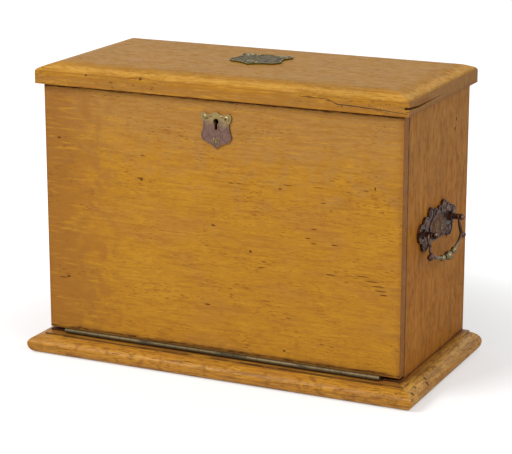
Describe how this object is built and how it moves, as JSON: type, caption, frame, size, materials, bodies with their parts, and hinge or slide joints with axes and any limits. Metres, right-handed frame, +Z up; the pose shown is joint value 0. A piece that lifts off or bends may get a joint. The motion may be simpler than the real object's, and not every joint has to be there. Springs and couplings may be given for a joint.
{
  "type": "writing box",
  "caption": "Upright wooden writing box on a moulded plinth, with a hinged lid, a fall front with a lock, and a cast bail handle on each end.",
  "frame": {"origin": "on the table, under the middle of the case (the plinth runs out further to the right than to the left)", "axes": "+X to the right of someone facing the fall front, +Y to the back, +Z up"},
  "size_m": [0.3971, 0.1991, 0.2836],
  "materials": {
    "case wood": "worn wax polish",
    "plinth wood": "worn wax polish",
    "inner wood": "satin",
    "hinge brass": "aged",
    "screw brass": "aged",
    "plate brass": "aged, polished by wear",
    "handle bronze": "dark patina",
    "iron": "dull",
    "lock steel": "dull",
    "writing leather": "worn",
    "bottle glass": "clear",
    "ink brass": "polished"
  },
  "bodies": {
    "case": {"back_board": "case wood", "case_bottom": "case wood", "fall_hinge_base_leaf": "hinge brass", "fall_hinge_base_screws": "screw brass", "fall_hinge_pin": "hinge brass", "handle_nuts_left": "iron", "handle_nuts_right": "iron", "handle_plate_left": "handle bronze", "handle_plate_right": "handle bronze", "handle_posts_left": "handle bronze", "handle_posts_right": "handle bronze", "hinge_strip": "case wood", "ink_bottle_left": "bottle glass", "ink_bottle_right": "bottle glass", "ink_cap_pin_left": "ink brass", "ink_cap_pin_right": "ink brass", "ink_collar_left": "ink brass", "ink_collar_right": "ink brass", "ink_tray": "inner wood", "lid_hinge_case_leaves": "hinge brass", "lid_hinge_case_screws": "screw brass", "lid_hinge_pins": "hinge brass", "plinth_board": "plinth wood", "plinth_front": "plinth wood", "plinth_left": "plinth wood", "plinth_right": "plinth wood", "plinth_screws": "iron", "rack_divider_1": "inner wood", "rack_divider_2": "inner wood", "rack_divider_3": "inner wood", "rack_end_left": "inner wood", "rack_end_right": "inner wood", "rack_front": "inner wood", "side_left": "case wood", "side_right": "case wood"},
    "fall_front": {"fall_board": "case wood", "writing_leather": "writing leather", "fall_hinge_fall_leaf": "hinge brass", "fall_hinge_fall_screws": "screw brass", "lock_case": "lock steel", "lock_screws": "screw brass", "escutcheon": "plate brass", "escutcheon_pins": "plate brass"},
    "lock_bolt": {"lock_bolt": "lock steel"},
    "lid": {"lid_board": "case wood", "lid_hinge_lid_leaves": "hinge brass", "lid_hinge_lid_screws": "screw brass", "lock_link_plate": "plate brass", "link_plate_screws": "screw brass", "lid_plaque": "plate brass", "plaque_pins": "plate brass"},
    "bail_left": {"handle_bail_left": "handle bronze"},
    "bail_right": {"handle_bail_right": "handle bronze"},
    "cap_left": {"ink_cap_left": "ink brass"},
    "cap_right": {"ink_cap_right": "ink brass"}
  },
  "joints": [
    {"name": "fall_hinge", "type": "hinge", "parent": "case", "child": "fall_front", "pos_m": [0, -0.0881, 0.02145], "axis": [1, 0, 0], "range_deg": [0, 95]},
    {"name": "lid_hinge", "type": "hinge", "parent": "case", "child": "lid", "pos_m": [0, 0.08995, 0.26135], "axis": [-1, 0, 0], "range_deg": [0, 95]},
    {"name": "lock_bolt_slide", "type": "slide", "parent": "fall_front", "child": "lock_bolt", "axis": [1, 0, 0], "range_m": [0, 0.004]},
    {"name": "bail_left_pivot", "type": "hinge", "parent": "case", "child": "bail_left", "pos_m": [-0.188, -0.001, 0.1445], "axis": [0, 1, 0], "range_deg": [0, 85]},
    {"name": "bail_right_pivot", "type": "hinge", "parent": "case", "child": "bail_right", "pos_m": [0.188, -0.001, 0.1445], "axis": [0, -1, 0], "range_deg": [0, 85]},
    {"name": "cap_left_hinge", "type": "hinge", "parent": "case", "child": "cap_left", "pos_m": [-0.138, -0.02965, 0.0798], "axis": [-1, 0, 0], "range_deg": [0, 100]},
    {"name": "cap_right_hinge", "type": "hinge", "parent": "case", "child": "cap_right", "pos_m": [0.138, -0.02965, 0.0798], "axis": [-1, 0, 0], "range_deg": [0, 100]}
  ]
}
